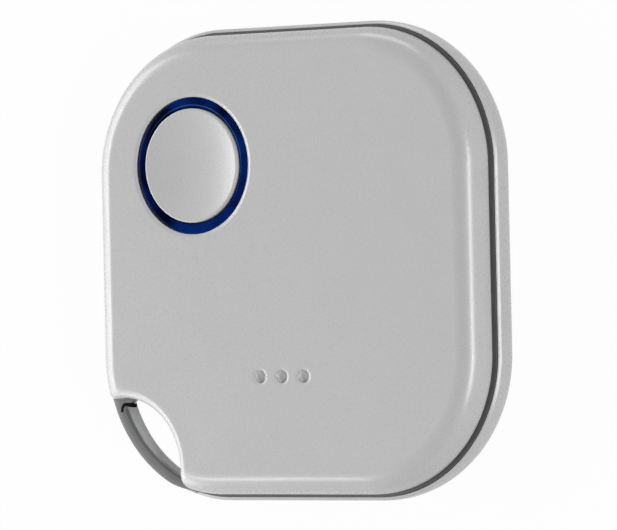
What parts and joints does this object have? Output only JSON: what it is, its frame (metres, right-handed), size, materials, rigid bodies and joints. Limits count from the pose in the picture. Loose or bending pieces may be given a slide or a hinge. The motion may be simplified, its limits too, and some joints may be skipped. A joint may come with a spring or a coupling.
{
  "type": "smart button",
  "caption": "Square key-fob push button with a dished round button in a light ring, two snap-together shells, a radio board, a coin cell and a corner key loop.",
  "frame": {"origin": "centre of the flat rear face", "axes": "+Z out of the front face, +X to the right and +Y up as the front is looked at, key loop at the corner towards -X and -Y"},
  "size_m": [0.036, 0.036, 0.0061],
  "materials": {
    "shell_plastic": "light grey satin with a fine sparkling grain",
    "band_plastic": "dark grey, smooth",
    "ring_lens": "dark blue, translucent, polished",
    "seal_rubber": "black, soft",
    "switch_plastic": "black, moulded",
    "board_laminate": "green solder mask",
    "chip_epoxy": "black epoxy, fine grain",
    "crystal_metal": "bright sheet metal",
    "antenna_ceramic": "white ceramic",
    "led_resin": "clear yellowish resin",
    "passive_ceramic": "tan ceramic",
    "contact_brass": "plated sheet",
    "cell_steel": "nickel plated, satin",
    "cell_fill": "dark pressed powder"
  },
  "bodies": {
    "rear_case": {"rear_cover": "shell_plastic", "key_loop_rear": "shell_plastic"},
    "front_case": {"front_cover": "shell_plastic", "mid_frame": "band_plastic", "key_loop_front": "band_plastic", "seal_ring": "seal_rubber", "light_ring": "ring_lens", "circuit_board": "board_laminate", "switch_base": "switch_plastic", "switch_dome": "crystal_metal", "switch_cover": "crystal_metal", "radio_chip": "chip_epoxy", "main_crystal": "crystal_metal", "clock_crystal": "crystal_metal", "chip_antenna": "antenna_ceramic", "ring_leds": "led_resin", "passives": "passive_ceramic", "bulk_capacitor": "passive_ceramic", "sounder_plate": "contact_brass", "sounder_ceramic": "antenna_ceramic", "sounder_springs": "contact_brass", "positive_contact": "contact_brass", "negative_contact": "contact_brass"},
    "button": {"button_cap": "shell_plastic", "switch_stem": "switch_plastic"},
    "battery": {"cell_can": "cell_steel", "cell_cap": "cell_steel", "cell_gasket": "seal_rubber", "cell_core": "cell_fill"}
  },
  "joints": [
    {"name": "case_open", "type": "slide", "parent": "rear_case", "child": "front_case", "axis": [0, 0, 1], "range_m": [0, 0.014]},
    {"name": "battery_lift", "type": "slide", "parent": "rear_case", "child": "battery", "axis": [0, 0, 1], "range_m": [0, 0.007]},
    {"name": "button_press", "type": "slide", "parent": "front_case", "child": "button", "axis": [0, 0, -1], "range_m": [0, 0.0003], "stiffness_N_per_m": 4000, "deforming": ["switch_dome"]}
  ],
  "couplings": [
    {"joint": "battery_lift", "follows": "case_open", "ratio": 0.5}
  ]
}
